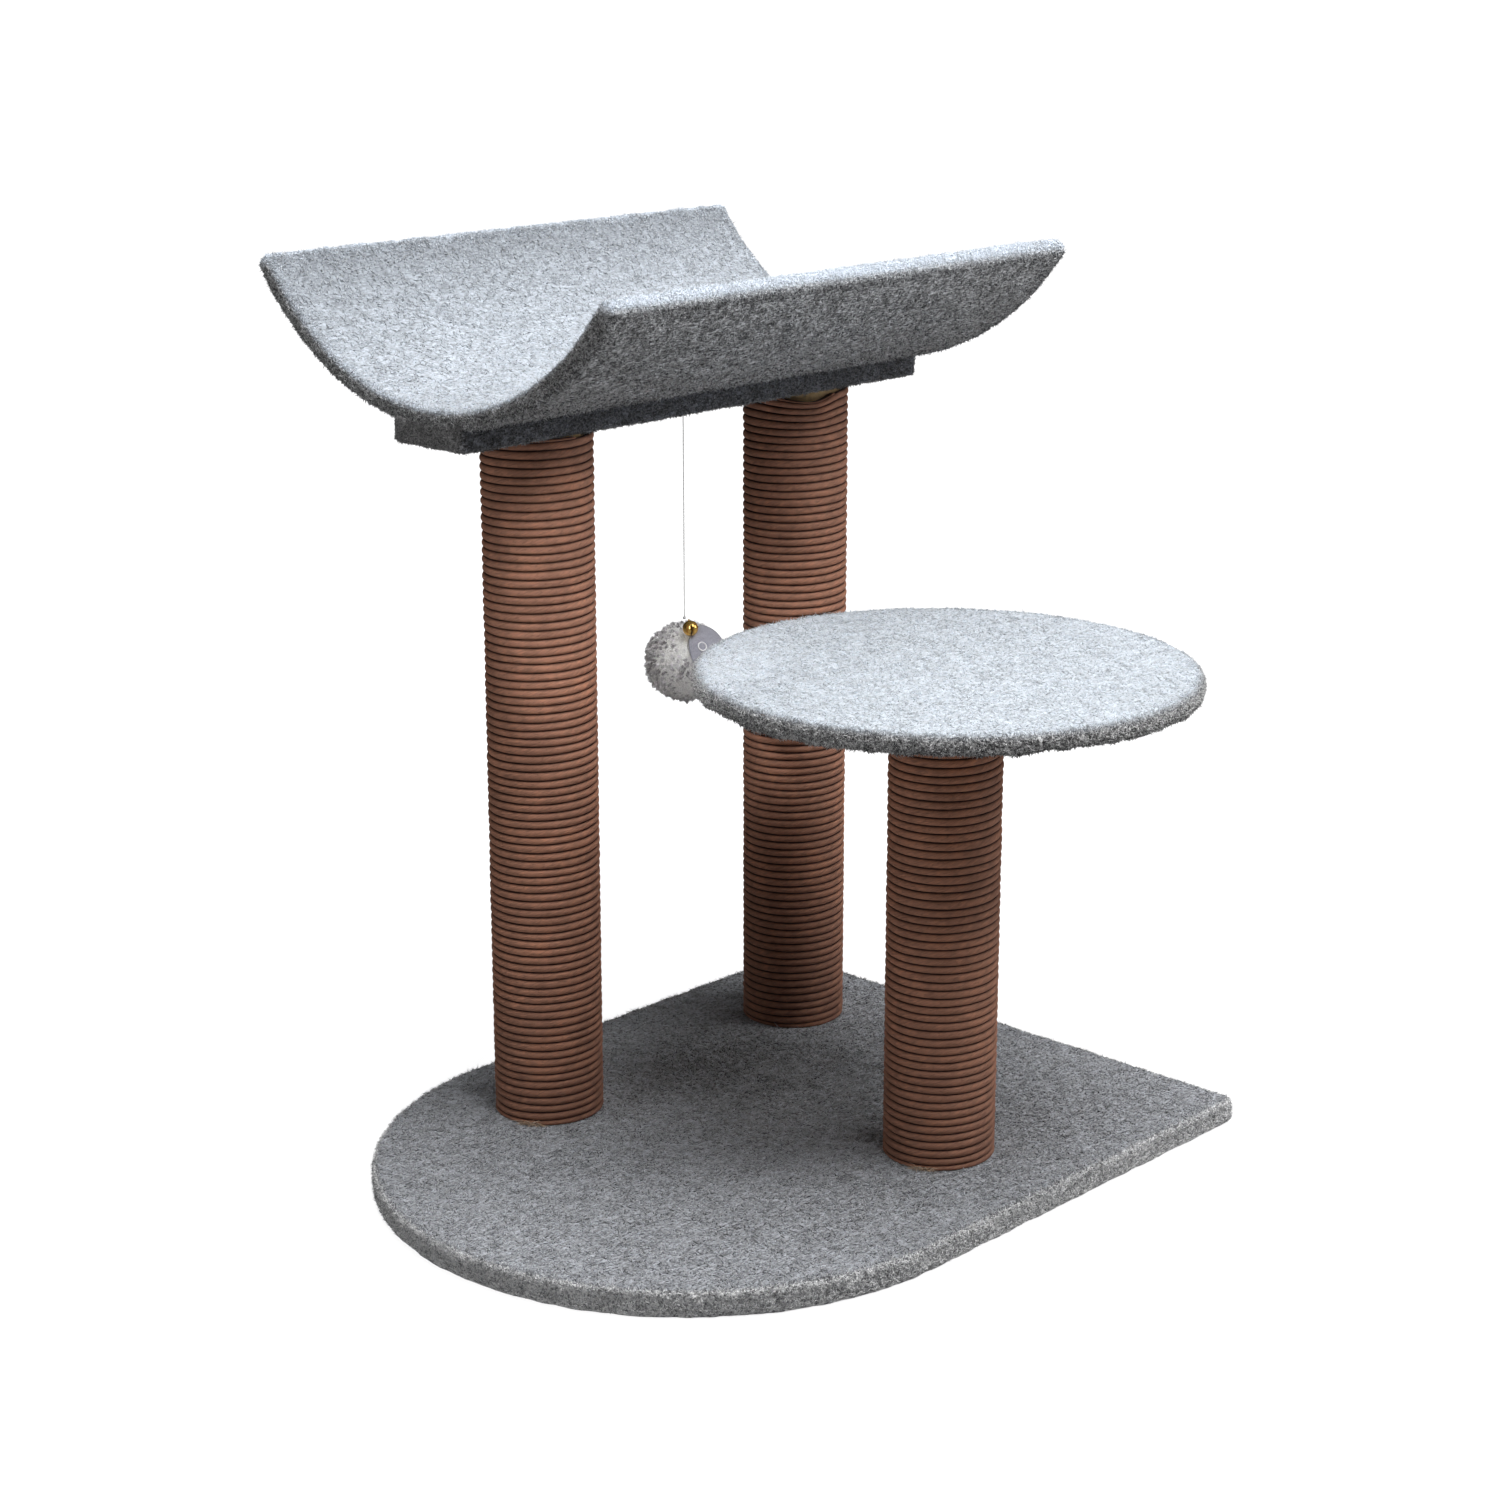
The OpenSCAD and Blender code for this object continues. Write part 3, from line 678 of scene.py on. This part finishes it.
def add_fuzz(
    name, cover, weight, count, stand, length, width, look, seed, turned=UP_RANGE, sloping=1.0, rim=None,
):
    """Fibres on a felt cover, which stand off it as far as stand says: 0 lies flat, 1 mostly upright. Where
    the felt is close to the floor, none points down. turned and rim are as in felt_material, and give the
    fibres the felt's painted light and shade."""
    _, points, quads, normals, _, _ = cover
    at, up = scatter(points, quads, normals, weight, count, seed)
    random = np.random.default_rng(seed + 1)
    flat = random.normal(0, 1, (count, 3))
    flat = unit(flat - up * np.sum(flat * up, axis=1)[:, None])
    heading = unit(flat + up * stand * random.uniform(0.3, 1.7, (count, 1)))
    bend = random.normal(0, 0.45, (count, 3)) - up * 0.35
    lengths = length * random.uniform(0.5, 1.25, count)
    widths = width * random.uniform(0.7, 1.3, count)
    on_floor = at[:, 2] < FLOOR_REACH
    for part in (heading, bend):
        part[on_floor, 2] = np.abs(part[on_floor, 2])
    # Painted shade: away marks fibres turned from the light, slope those on slopes.
    facing = np.abs(up[:, 1]) if turned is SIDE_RANGE else up[:, 2]
    away = np.clip((facing - turned[0]) / (turned[1] - turned[0]), 0, 1)
    slope = np.clip((up[:, 2] - SLOPE_RANGE[0]) / (SLOPE_RANGE[1] - SLOPE_RANGE[0]), 0, 1) * sloping
    blotches = 0.3 * noise(at, 4 * MM, seed + 3) + 0.35 * noise(at, 9 * MM, seed + 4)
    tint = random.random(count) + blotches * (1 - away)
    if rim:
        outward = up[:, 1] * (at[:, 1] - rim[0])
        # Painted light: fibres on the cradle's rims are painted lighter and lose their painted shade.
        rim_painted_light = np.clip((at[:, 2] - rim[1] + RIM_REACH) / (RIM_REACH - 2 * MM), 0, 1)
        rim_painted_light *= np.clip((outward - RIM_OUTWARD[0]) / (RIM_OUTWARD[1] - RIM_OUTWARD[0]), 0, 1)
        tint, away, slope = tint + 0.5 * rim_painted_light, away * (1 - rim_painted_light), slope * (1 - rim_painted_light)
    places = {"tint": np.clip(tint, 0, 1), "away": away, "slope": slope}
    made = hairs(name, at - up * 0.15 * MM, heading, bend, lengths, widths, seed + 2, rings=1, places=places)
    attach(made, "stand")
    return paint(made, look)


def finish_cover(cover, node, material):
    made = cover[0]
    paint(made, material)
    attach(made, "stand")
    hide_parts(node)


def make_base_felt():
    low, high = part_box("base_cover")
    half, thick = (high.y - low.y) / 2, high.z - low.z
    steps = (70, 3, 106, 112, 0)

    def outline_at(inset):
        return outline(low.x, high.x, half, half, 3 * MM, inset, steps)

    profile = felt_profile(half, thick, 3.6 * MM, 4.6 * MM, HEM_W)
    cover = felt_cover("base_felt", outline_at, profile, flat_place((low.y + high.y) / 2, low.z), 11)
    above = cover[4] * (cover[1][:, 2] > 1.5 * MM)
    weight = rim_weight(cover[5], above, 6 * MM, 0.002)
    fuzz = [add_fuzz(
        "base_fuzz", cover, weight, FIBRES, 0.9, 3.2 * MM, 0.85 * MM, base_fuzz_look, 12, BASE_RANGE,
    )]
    fuzz += [add_fuzz(
        f"base_pile_{k}", cover, above, FIBRES, 0.4, 4 * MM, 0.95 * MM, base_fuzz_look, 12 + k, BASE_RANGE,
    ) for k in (1, 2)]
    finish_cover(cover, "base_cover", base_felt)


def make_platform_felt():
    low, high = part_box("platform_cover")
    half, thick = (high.y - low.y) / 2, high.z - low.z
    middle = np.array([(low.x + high.x) / 2, (low.y + high.y) / 2])

    def outline_at(inset):
        return outline(low.x, high.x, half, half, half, inset, (0, 88, 0, 88, 0))

    def pleats(points, height):
        """The felt bunches into small folds where it turns under the round edge."""
        out = points[:, :2] - middle
        turn = np.arctan2(out[:, 1], out[:, 0])
        around = np.column_stack([np.cos(turn), np.sin(turn), turn * 0]) * half
        fold = noise(around, 9 * MM, 21) + 0.6 * noise(around, 21 * MM, 22)
        reach = np.linalg.norm(out, axis=1) / half
        lower = np.clip(1 - height / (0.55 * thick), 0, 1) * np.clip((reach - 0.8) / 0.15, 0, 1)
        down = (0.4 + fold) * 1.1 * MM * lower
        outward = fold * 0.5 * MM * lower
        return np.column_stack([unit(out) * outward[:, None], -down])

    profile = felt_profile(half, thick, 6.5 * MM, 4.4 * MM, HEM_W)
    cover = felt_cover(
        "platform_felt", outline_at, profile, flat_place(middle[1], low.z), 23, lumps=pleats
    )
    weight = rim_weight(cover[5], cover[4], 10 * MM, 0.02)
    fuzz = [
        add_fuzz(
            "platform_fuzz", cover, weight, FIBRES * 2 // 3, 0.9, 2.8 * MM, 0.8 * MM, platform_fuzz_look, 24,
            PLATFORM_RANGE,
        ),
        add_fuzz(
            "platform_pile", cover, cover[4], FIBRES, 0.35, 3.4 * MM, 0.8 * MM, platform_fuzz_look, 25,
            PLATFORM_RANGE,
        ),
    ]
    finish_cover(
        cover, "platform_cover",
        platform_felt,
    )


def make_support_felt():
    low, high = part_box("support_cover")
    half, thick = (high.y - low.y) / 2, high.z - low.z

    def outline_at(inset):
        return outline(low.x, high.x, half, 6 * MM, 6 * MM, inset, (10, 4, 140, 4, 10))

    profile = felt_profile(half, thick, 1.4 * MM, 3.4 * MM, half - SLIT)
    middle_y, end_bulge = (low.y + high.y) / 2, 1.2 * MM

    def press(points, height):
        """The felt is pressed up against the round underside of the cradle, and is thicker at its ends."""
        upper = np.clip((height / thick - 0.3) / 0.7, 0, 1)
        rise = (points[:, 1] - middle_y) ** 2 / (2 * (CRADLE_R + CRADLE_T)) * upper
        along = (points[:, 0] - (low.x + high.x) / 2) / ((high.x - low.x) / 2)
        out = np.sign(along) * end_bulge * np.clip((np.abs(along) - 0.9) / 0.1, 0, 1)
        rise += 4 * MM * upper * np.clip((np.abs(along) - 0.985) / 0.015, 0, 1)
        return np.column_stack([out, out * 0, rise])

    cover = felt_cover("support_felt", outline_at, profile, flat_place(middle_y, low.z), 31, lumps=press)
    weight = rim_weight(cover[5], cover[4], 12 * MM, 0.08)
    fuzz = [add_fuzz(
        "support_fuzz", cover, weight, FIBRES // 2, 0.8, 2.4 * MM, 0.8 * MM, support_fuzz_look, 32,
        SIDE_RANGE,
    )]
    finish_cover(cover, "support_cover", support_felt)


def make_cradle_felt():
    low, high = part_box("cradle_cover")
    out_r = CRADLE_R + CRADLE_T
    axis_y, axis_z = (low.y + high.y) / 2, low.z + out_r
    mid_r = CRADLE_R + CRADLE_T / 2
    half = CRADLE_ANGLE * mid_r

    def outline_at(inset):
        return outline(low.x, high.x, half, 5 * MM, 5 * MM, inset, (58, 4, 136, 4, 58))

    def place(at, height):
        turn, r = at[:, 1] / mid_r, out_r - height
        return np.column_stack([at[:, 0], axis_y + r * np.sin(turn), axis_z - r * np.cos(turn)])

    profile = felt_profile(half, CRADLE_T, 3.2 * MM, 4.6 * MM, half - SLIT)
    cover = felt_cover("cradle_felt", outline_at, profile, place, 41)
    weight = rim_weight(cover[5], cover[4], 12 * MM, 0.015)
    below = cover[4] * (cover[3][:, 2] < 0.1)
    fuzz = [
        add_fuzz(
            "cradle_fuzz", cover, weight, FIBRES, 0.9, 2.8 * MM, 0.85 * MM, cradle_fuzz_look, 42,
            sloping=-0.5, rim=CRADLE_RIM,
        ),
        add_fuzz(
            "cradle_pile", cover, cover[4] - below, FIBRES, 0.35, 3.6 * MM, 0.9 * MM, cradle_fuzz_look, 43,
            rim=CRADLE_RIM,
        ),
        add_fuzz(
            "cradle_underpile", cover, below, FIBRES, 0.5, 3.4 * MM, 0.9 * MM, cradle_fuzz_look, 44,
            rim=CRADLE_RIM,
        ),
    ]
    finish_cover(cover, "cradle_cover", cradle_felt)


make_base_felt()
make_platform_felt()
make_support_felt()
make_cradle_felt()


# ---------------------------------------------------------------- rope

# Angles round a rope's section, closer together on the outside of the post
SECTION = np.radians([-90, -62, -36, -12, 12, 36, 62, 90, 140, 220])
SECTION_POWER = 2 / 2.1


def make_rope(name, node, seed, warp=None):
    """A rope wound turn beside turn round a post. Its two ends are squeezed thin, so that the winding
    fills the post from bottom to top."""
    low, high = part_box(node)
    middle = (low + high) / 2
    out_r, height = (high.x - low.x) / 2, high.z - low.z
    turns = round(height / ROPE_D)
    pitch = height / turns
    first, last = 0.25, turns + 0.75
    t = np.linspace(first, last, round((last - first) * ROPE_STEPS))
    line = np.column_stack([t * 5.3, t * 0, t * 0])

    def border(at):
        """Height of the line where a turn meets the next one."""
        wander = noise(np.column_stack([at * 4.1, at * 0, at * 0]), 1, seed)
        wander += 0.6 * noise(np.column_stack([at * 11.3, at * 0, at * 0]), 1, seed + 1)
        inside = np.clip(at, 0, 1) * np.clip(turns - at, 0, 1)
        return np.clip(pitch * at + 0.38 * MM * wander * inside, 0, height)

    top, bottom = border(t), border(t - 1)
    middle_z, half = (top + bottom) / 2, (top - bottom) / 2 * 0.985
    section = np.stack([np.cos(SECTION), np.sin(SECTION)], -1)
    section = np.sign(section) * np.abs(section) ** SECTION_POWER
    depth = ROPE_D / 2 * (1 + 0.05 * noise(line, 1, seed + 2))
    core = out_r - ROPE_D / 2 + 0.14 * MM * noise(line * 0.7, 1, seed + 3)
    r = core[:, None] + depth[:, None] * section[None, :, 0]
    z = low.z + middle_z[:, None] + half[:, None] * section[None, :, 1]
    a = np.broadcast_to((2 * math.pi * t)[:, None], r.shape)
    points = np.stack([middle.x + r * np.cos(a), middle.y + r * np.sin(a), z], -1).reshape(-1, 3)
    points += 0.09 * MM * noise(points, 2.2 * MM, seed + 4)[:, None] * np.stack(
        [np.cos(a), np.sin(a), a * 0], -1
    ).reshape(-1, 3)
    if warp:
        points = warp(points, a.ravel(), high.z)
    rings, count = r.shape
    quads = ring_quads(rings, count)
    caps = np.array([range(count), range(rings * count - 1, (rings - 1) * count - 1, -1)])
    along = t * 2 * math.pi * out_r
    around = np.append(SECTION, SECTION[0] + 2 * math.pi) * ROPE_D / 2
    i, k = np.divmod(np.arange(len(quads)), count)
    uv = np.stack([
        np.stack([along[i + di], around[k + dk]], -1) for di, dk in ((0, 0), (1, 0), (1, 1), (0, 1))
    ], 1).reshape(-1, 2)
    uv = np.concatenate([uv, np.zeros((2 * count, 2))])
    made = mesh_object(name, points, [quads, caps], corners_uv=uv)
    paint(made, rope_look)
    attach(made, "stand")
    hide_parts(node)
    return made


def slack(turn, left, right, drop, reach):
    """A warp that lets the topmost turns of a rope sag on one side of the post."""
    def warp(points, a, top_z):
        away = (np.degrees(a) - turn + 180) % 360 - 180
        share = np.clip(1 - np.where(away < 0, -away / left, away / right), 0, 1)
        share = share * share * (3 - 2 * share)
        down = drop * share * np.exp((points[:, 2] - top_z) / reach)
        return points - np.column_stack([down * 0, down * 0, down])
    return warp


def make_fray(name, node, turn, seed):
    """The loose fibres of a rope's cut end, which stick out at the foot of its post."""
    low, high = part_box(node)
    random = np.random.default_rng(seed)
    a = math.radians(turn) + random.uniform(-0.16, 0.16, FRAY_FIBRES)
    way = np.column_stack([np.cos(a), np.sin(a), a * 0])
    beside = np.column_stack([-np.sin(a), np.cos(a), a * 0]) * random.choice([-1, 1], (FRAY_FIBRES, 1))
    centre = np.array([(low.x + high.x) / 2, (low.y + high.y) / 2, low.z])
    roots = centre + way * ((high.x - low.x) / 2 - 1.2 * MM)
    roots[:, 2] += random.uniform(0.6, 2.4, FRAY_FIBRES) * MM
    heading = way * random.uniform(0.2, 1, (FRAY_FIBRES, 1)) + beside * 0.8
    heading += random.normal(0, 0.15, way.shape)
    bend = random.normal(0, 0.4, way.shape) - (0, 0, 0.1)
    lengths = random.uniform(4, 10, FRAY_FIBRES) * MM
    widths = random.uniform(0.3, 0.7, FRAY_FIBRES) * MM
    places = {"away": np.zeros(FRAY_FIBRES), "slope": np.zeros(FRAY_FIBRES)}
    made = hairs(name, roots, heading, bend, lengths, widths, seed + 1, places=places)
    paint(made, fray_look)
    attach(made, "stand")


make_rope("left_rope", "left_post_rope", 51)
make_rope("right_rope", "right_post_rope", 61, warp=slack(242, 80, 42, 7 * MM, 16 * MM))
make_rope("short_rope", "short_post_rope", 71, warp=slack(262, 90, 60, 2.5 * MM, 30 * MM))
make_fray("left_fray", "left_post_rope", 208, 76)
make_fray("short_fray", "short_post_rope", 204, 78)


# ---------------------------------------------------------------- toy

def make_toy():
    low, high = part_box("toy_plush")
    centre = np.array((low + high) / 2)
    radius = (high.x - low.x) / 2
    patch_way, bell_way = direction(*PATCH_AT), direction(*BELL_AT)

    def shape(ways):
        """The ball is a little uneven."""
        return (1.3 * noise(ways, 0.6, 81) + 0.5 * noise(ways, 0.15, 82)) * MM

    body_r = radius * FUR_BODY
    points, quads, ways = ball_mesh(centre, body_r, 60, 96, shape)
    caps = [np.array([range(96)]), np.array([range(len(points) - 1, len(points) - 97, -1)])]
    body = mesh_object("plush_body", points, [quads, np.concatenate(caps)[:, ::-1]])
    paint(body, shaded_skin_look)
    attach(body, "toy_ball")
    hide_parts("toy_plush")

    # Each hair leans over to the tip of its tuft. The tufts lie over one another like scales, combed
    # downwards and in swirls, and the dark roots of the next ones show beyond their tips: the roots are
    # painted darker, as painted shade.
    random = np.random.default_rng(83)
    tufts = unit(random.normal(size=(TUFTS, 3)))
    swirl = np.column_stack([noise(tufts, 0.45, 84 + k) for k in range(3)])
    swirl -= tufts * np.sum(swirl * tufts, axis=1)[:, None]
    tall = random.uniform(0.6, 1.1, TUFTS)
    tone = random.random(TUFTS)
    combed = unit(swirl) - (0, 0, 0.7)
    combed = unit(combed - tufts * np.sum(combed * tufts, axis=1)[:, None])
    combed *= random.uniform(1.5, 4, (TUFTS, 1)) * MM
    tips = tufts * (body_r + shape(tufts) + FUR_LENGTH * tall)[:, None] + combed
    tips = centre + unit(tips) * np.minimum(np.linalg.norm(tips, axis=1), radius + 0.5 * MM)[:, None]
    for number in range(2):
        way = unit(random.normal(size=(HAIRS * 2, 3)))
        beside_patch = way @ patch_way < math.cos(PATCH_ANGLE * 0.98)
        beside_bell = way @ bell_way < math.cos(0.2)
        way = way[beside_patch & beside_bell][:HAIRS]
        near = np.arccos(np.clip(way @ tufts.T, -1, 1))
        owner = np.argmin(near, axis=1)
        nearest = np.partition(near, 1, axis=1)
        inner = np.clip((nearest[:, 1] - nearest[:, 0]) / TUFT_SPACING, 0, 1)
        # Painted shade: hairs near the edge of their tuft are painted darker, in the gaps between tufts; the
        # rest of their tint is the tuft's own tone and chance.
        tint = 0.3 * inner + 0.5 * tone[owner] + 0.2 * random.random(len(way))
        roots = centre + way * (body_r + shape(way) - 0.3 * MM)[:, None]
        lean = tips[owner] - roots + random.normal(0, 0.6 * MM, way.shape)
        lengths = np.linalg.norm(lean, axis=1) * random.uniform(0.8, 1.05, len(way))
        lengths *= 0.75 + 0.25 * inner
        heading = unit(unit(lean) + 0.5 * way)
        bend = 2 * (unit(lean) - heading) + random.normal(0, 0.12, way.shape)
        widths = random.uniform(0.4, 1.0, len(way)) * MM
        name = f"plush_fur_{number + 1}"
        piece = hairs(name, roots, heading, bend, lengths, widths, 90 + number, places={"tint": tint})
        paint(piece, fur_look)
        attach(piece, "toy_ball")
    return centre, radius


def make_patch(centre, radius):
    """The patch: a round piece of short pile sewn on the ball, slightly puckered at its edge."""
    way = Vector(direction(*PATCH_AT))
    turn = way.to_track_quat("Z", "Y").to_matrix()
    steps, count, thick = 26, 96, 1.2 * MM
    rings = []
    for side, angles in ((1, np.linspace(0.02, PATCH_ANGLE, steps)), (0, np.linspace(PATCH_ANGLE, 0.02, 8))):
        for lift in angles:
            around = np.arange(count) * 2 * math.pi / count
            flat_x, flat_y = math.sin(lift) * np.cos(around), math.sin(lift) * np.sin(around)
            ways = np.column_stack([flat_x, flat_y, np.full(count, math.cos(lift))]) @ np.array(turn).T
            edge = math.exp(-(PATCH_ANGLE - lift) / 0.09)
            pucker = 0.45 * noise(ways, 0.12, 95) * edge + 0.25 * noise(ways, 0.16, 96)
            r = radius - 0.2 * MM + side * (thick + pucker * MM - edge * 1.1 * MM)
            rings.append(centre + ways * r[:, None])
    points = np.concatenate(rings)
    quads = ring_quads(len(rings), count)
    caps = strip_cap(0, count, False) + strip_cap((len(rings) - 1) * count, count, True)
    made = mesh_object("patch", points, [quads, *caps])
    paint(made, patch_look)
    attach(made, "toy_ball")
    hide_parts("toy_patch")


centre, radius = make_toy()
make_patch(centre, radius)


# ---------------------------------------------------------------- materials of the CAD's own nodes

NODE_LOOKS = {
    board_look: ["base_board", "platform_board"],
    plywood_look: ["support_board", "cradle_shell", "post_bottom_plugs", "post_top_plugs"],
    cardboard_look: ["left_post_tube", "right_post_tube", "short_post_tube"],
    zinc_look: [
        "base_staples", "platform_staples", "support_staples", "rope_end_staples", "plug_inserts",
        "base_bolts", "base_washers", "post_studs", "tee_nuts", "cradle_screws", "toy_staple", "bell_pellet",
    ],
    brass_look: ["bell_shell"],
    thread_look: ["bell_stitch"],
    ring_look: ["toy_patch_ring"],
    knot_look: ["string_loop", "string_knot", "toy_knot"],
    filling_look: ["toy_filling"],
}
for look, nodes in NODE_LOOKS.items():
    for node in nodes:
        paint(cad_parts[node], look)


# ---------------------------------------------------------------- studio

def area_light(name, place, aim, size, power):
    data = bpy.data.lights.new(name, "AREA")
    data.shape = "RECTANGLE"
    data.size, data.size_y = size
    data.energy = power
    made = bpy.data.objects.new(name, data)
    made.location = place
    made.rotation_euler = (Vector(aim) - Vector(place)).to_track_quat("-Z", "Y").to_euler()
    bpy.context.scene.collection.objects.link(made)


def make_studio():
    """A plain pale floor and background, and soft light mostly from above."""
    floor = Shader("floor")
    is_seen = floor.add("LightPath").outputs["Is Camera Ray"]
    grain = floor.noise(0.3, detail=2)
    tone = floor.ramp(grain, (0.3, (0.27, 0.27, 0.27)), (0.7, (0.29, 0.29, 0.29)))
    floor.set(Base_Color=tone, Roughness=0.9)
    place = floor.add("TexCoord").outputs["Object"]
    away = floor.add("VectorMath", {0: place}, operation="LENGTH").outputs["Value"]
    strength = floor.spread(away, 0.4, 1.4, 0.93, 1.15)
    glow = floor.add("Emission", {"Color": (1, 1, 1, 1), "Strength": strength})
    both = floor.add("AddShader", {0: floor.surface.outputs[0], 1: glow.outputs[0]})
    shown = floor.add("MixShader", {0: is_seen, 1: floor.surface.outputs[0], 2: both.outputs[0]})
    output = floor.tree.nodes["Material Output"]
    floor.tree.links.new(shown.outputs[0], output.inputs["Surface"])

    corners = [(x * FLOOR_HALF, y * FLOOR_HALF, -0.2 * MM) for x, y in ((-1, -1), (1, -1), (1, 1), (-1, 1))]
    ground = mesh_object("floor", np.array(corners), [np.array([[0, 1, 2, 3]])], smooth=False)
    paint(ground, floor.material)

    world = bpy.data.worlds.new("studio")
    world.use_nodes = True
    nodes, links = world.node_tree.nodes, world.node_tree.links
    background = nodes["Background"]
    background.inputs["Color"].default_value = (1, 1, 1, 1)
    path = nodes.new("ShaderNodeLightPath")
    strength = nodes.new("ShaderNodeMapRange")
    strength.inputs["To Min"].default_value = 0.01
    strength.inputs["To Max"].default_value = 1.3
    links.new(path.outputs["Is Camera Ray"], strength.inputs["Value"])
    links.new(strength.outputs[0], background.inputs["Strength"])
    bpy.context.scene.world = world

    middle = (0, 0, 0.35)
    area_light("top_light", (0.1, 0, 2.1), middle, (1.4, 1.4), 14)
    area_light("front_light", (0, -0.9, 2.0), middle, (1.3, 1.3), 43)
    area_light("right_light", (1.6, -1.5, 0.95), middle, (1.0, 1.2), 14)
    area_light("left_light", (-1.9, 0.4, 0.7), middle, (1.0, 1.2), 7)
    # A narrow beam that picks out the hanging toy
    beam = bpy.data.lights.new("toy_light", "SPOT")
    beam.energy, beam.shadow_soft_size = TOY_BEAM_W, 0.1
    beam.spot_size, beam.spot_blend = 2 * math.atan(radius / TOY_BEAM_REACH), 0.6
    lamp = bpy.data.objects.new("toy_light", beam)
    lamp.location = Vector(centre + TOY_BEAM_REACH * direction(*TOY_BEAM_FROM))
    lamp.rotation_euler = (Vector(centre) - lamp.location).to_track_quat("-Z", "Y").to_euler()
    bpy.context.scene.collection.objects.link(lamp)
    scene = bpy.context.scene
    scene.view_settings.view_transform = "Standard"
    scene.view_settings.look = "None"


make_studio()
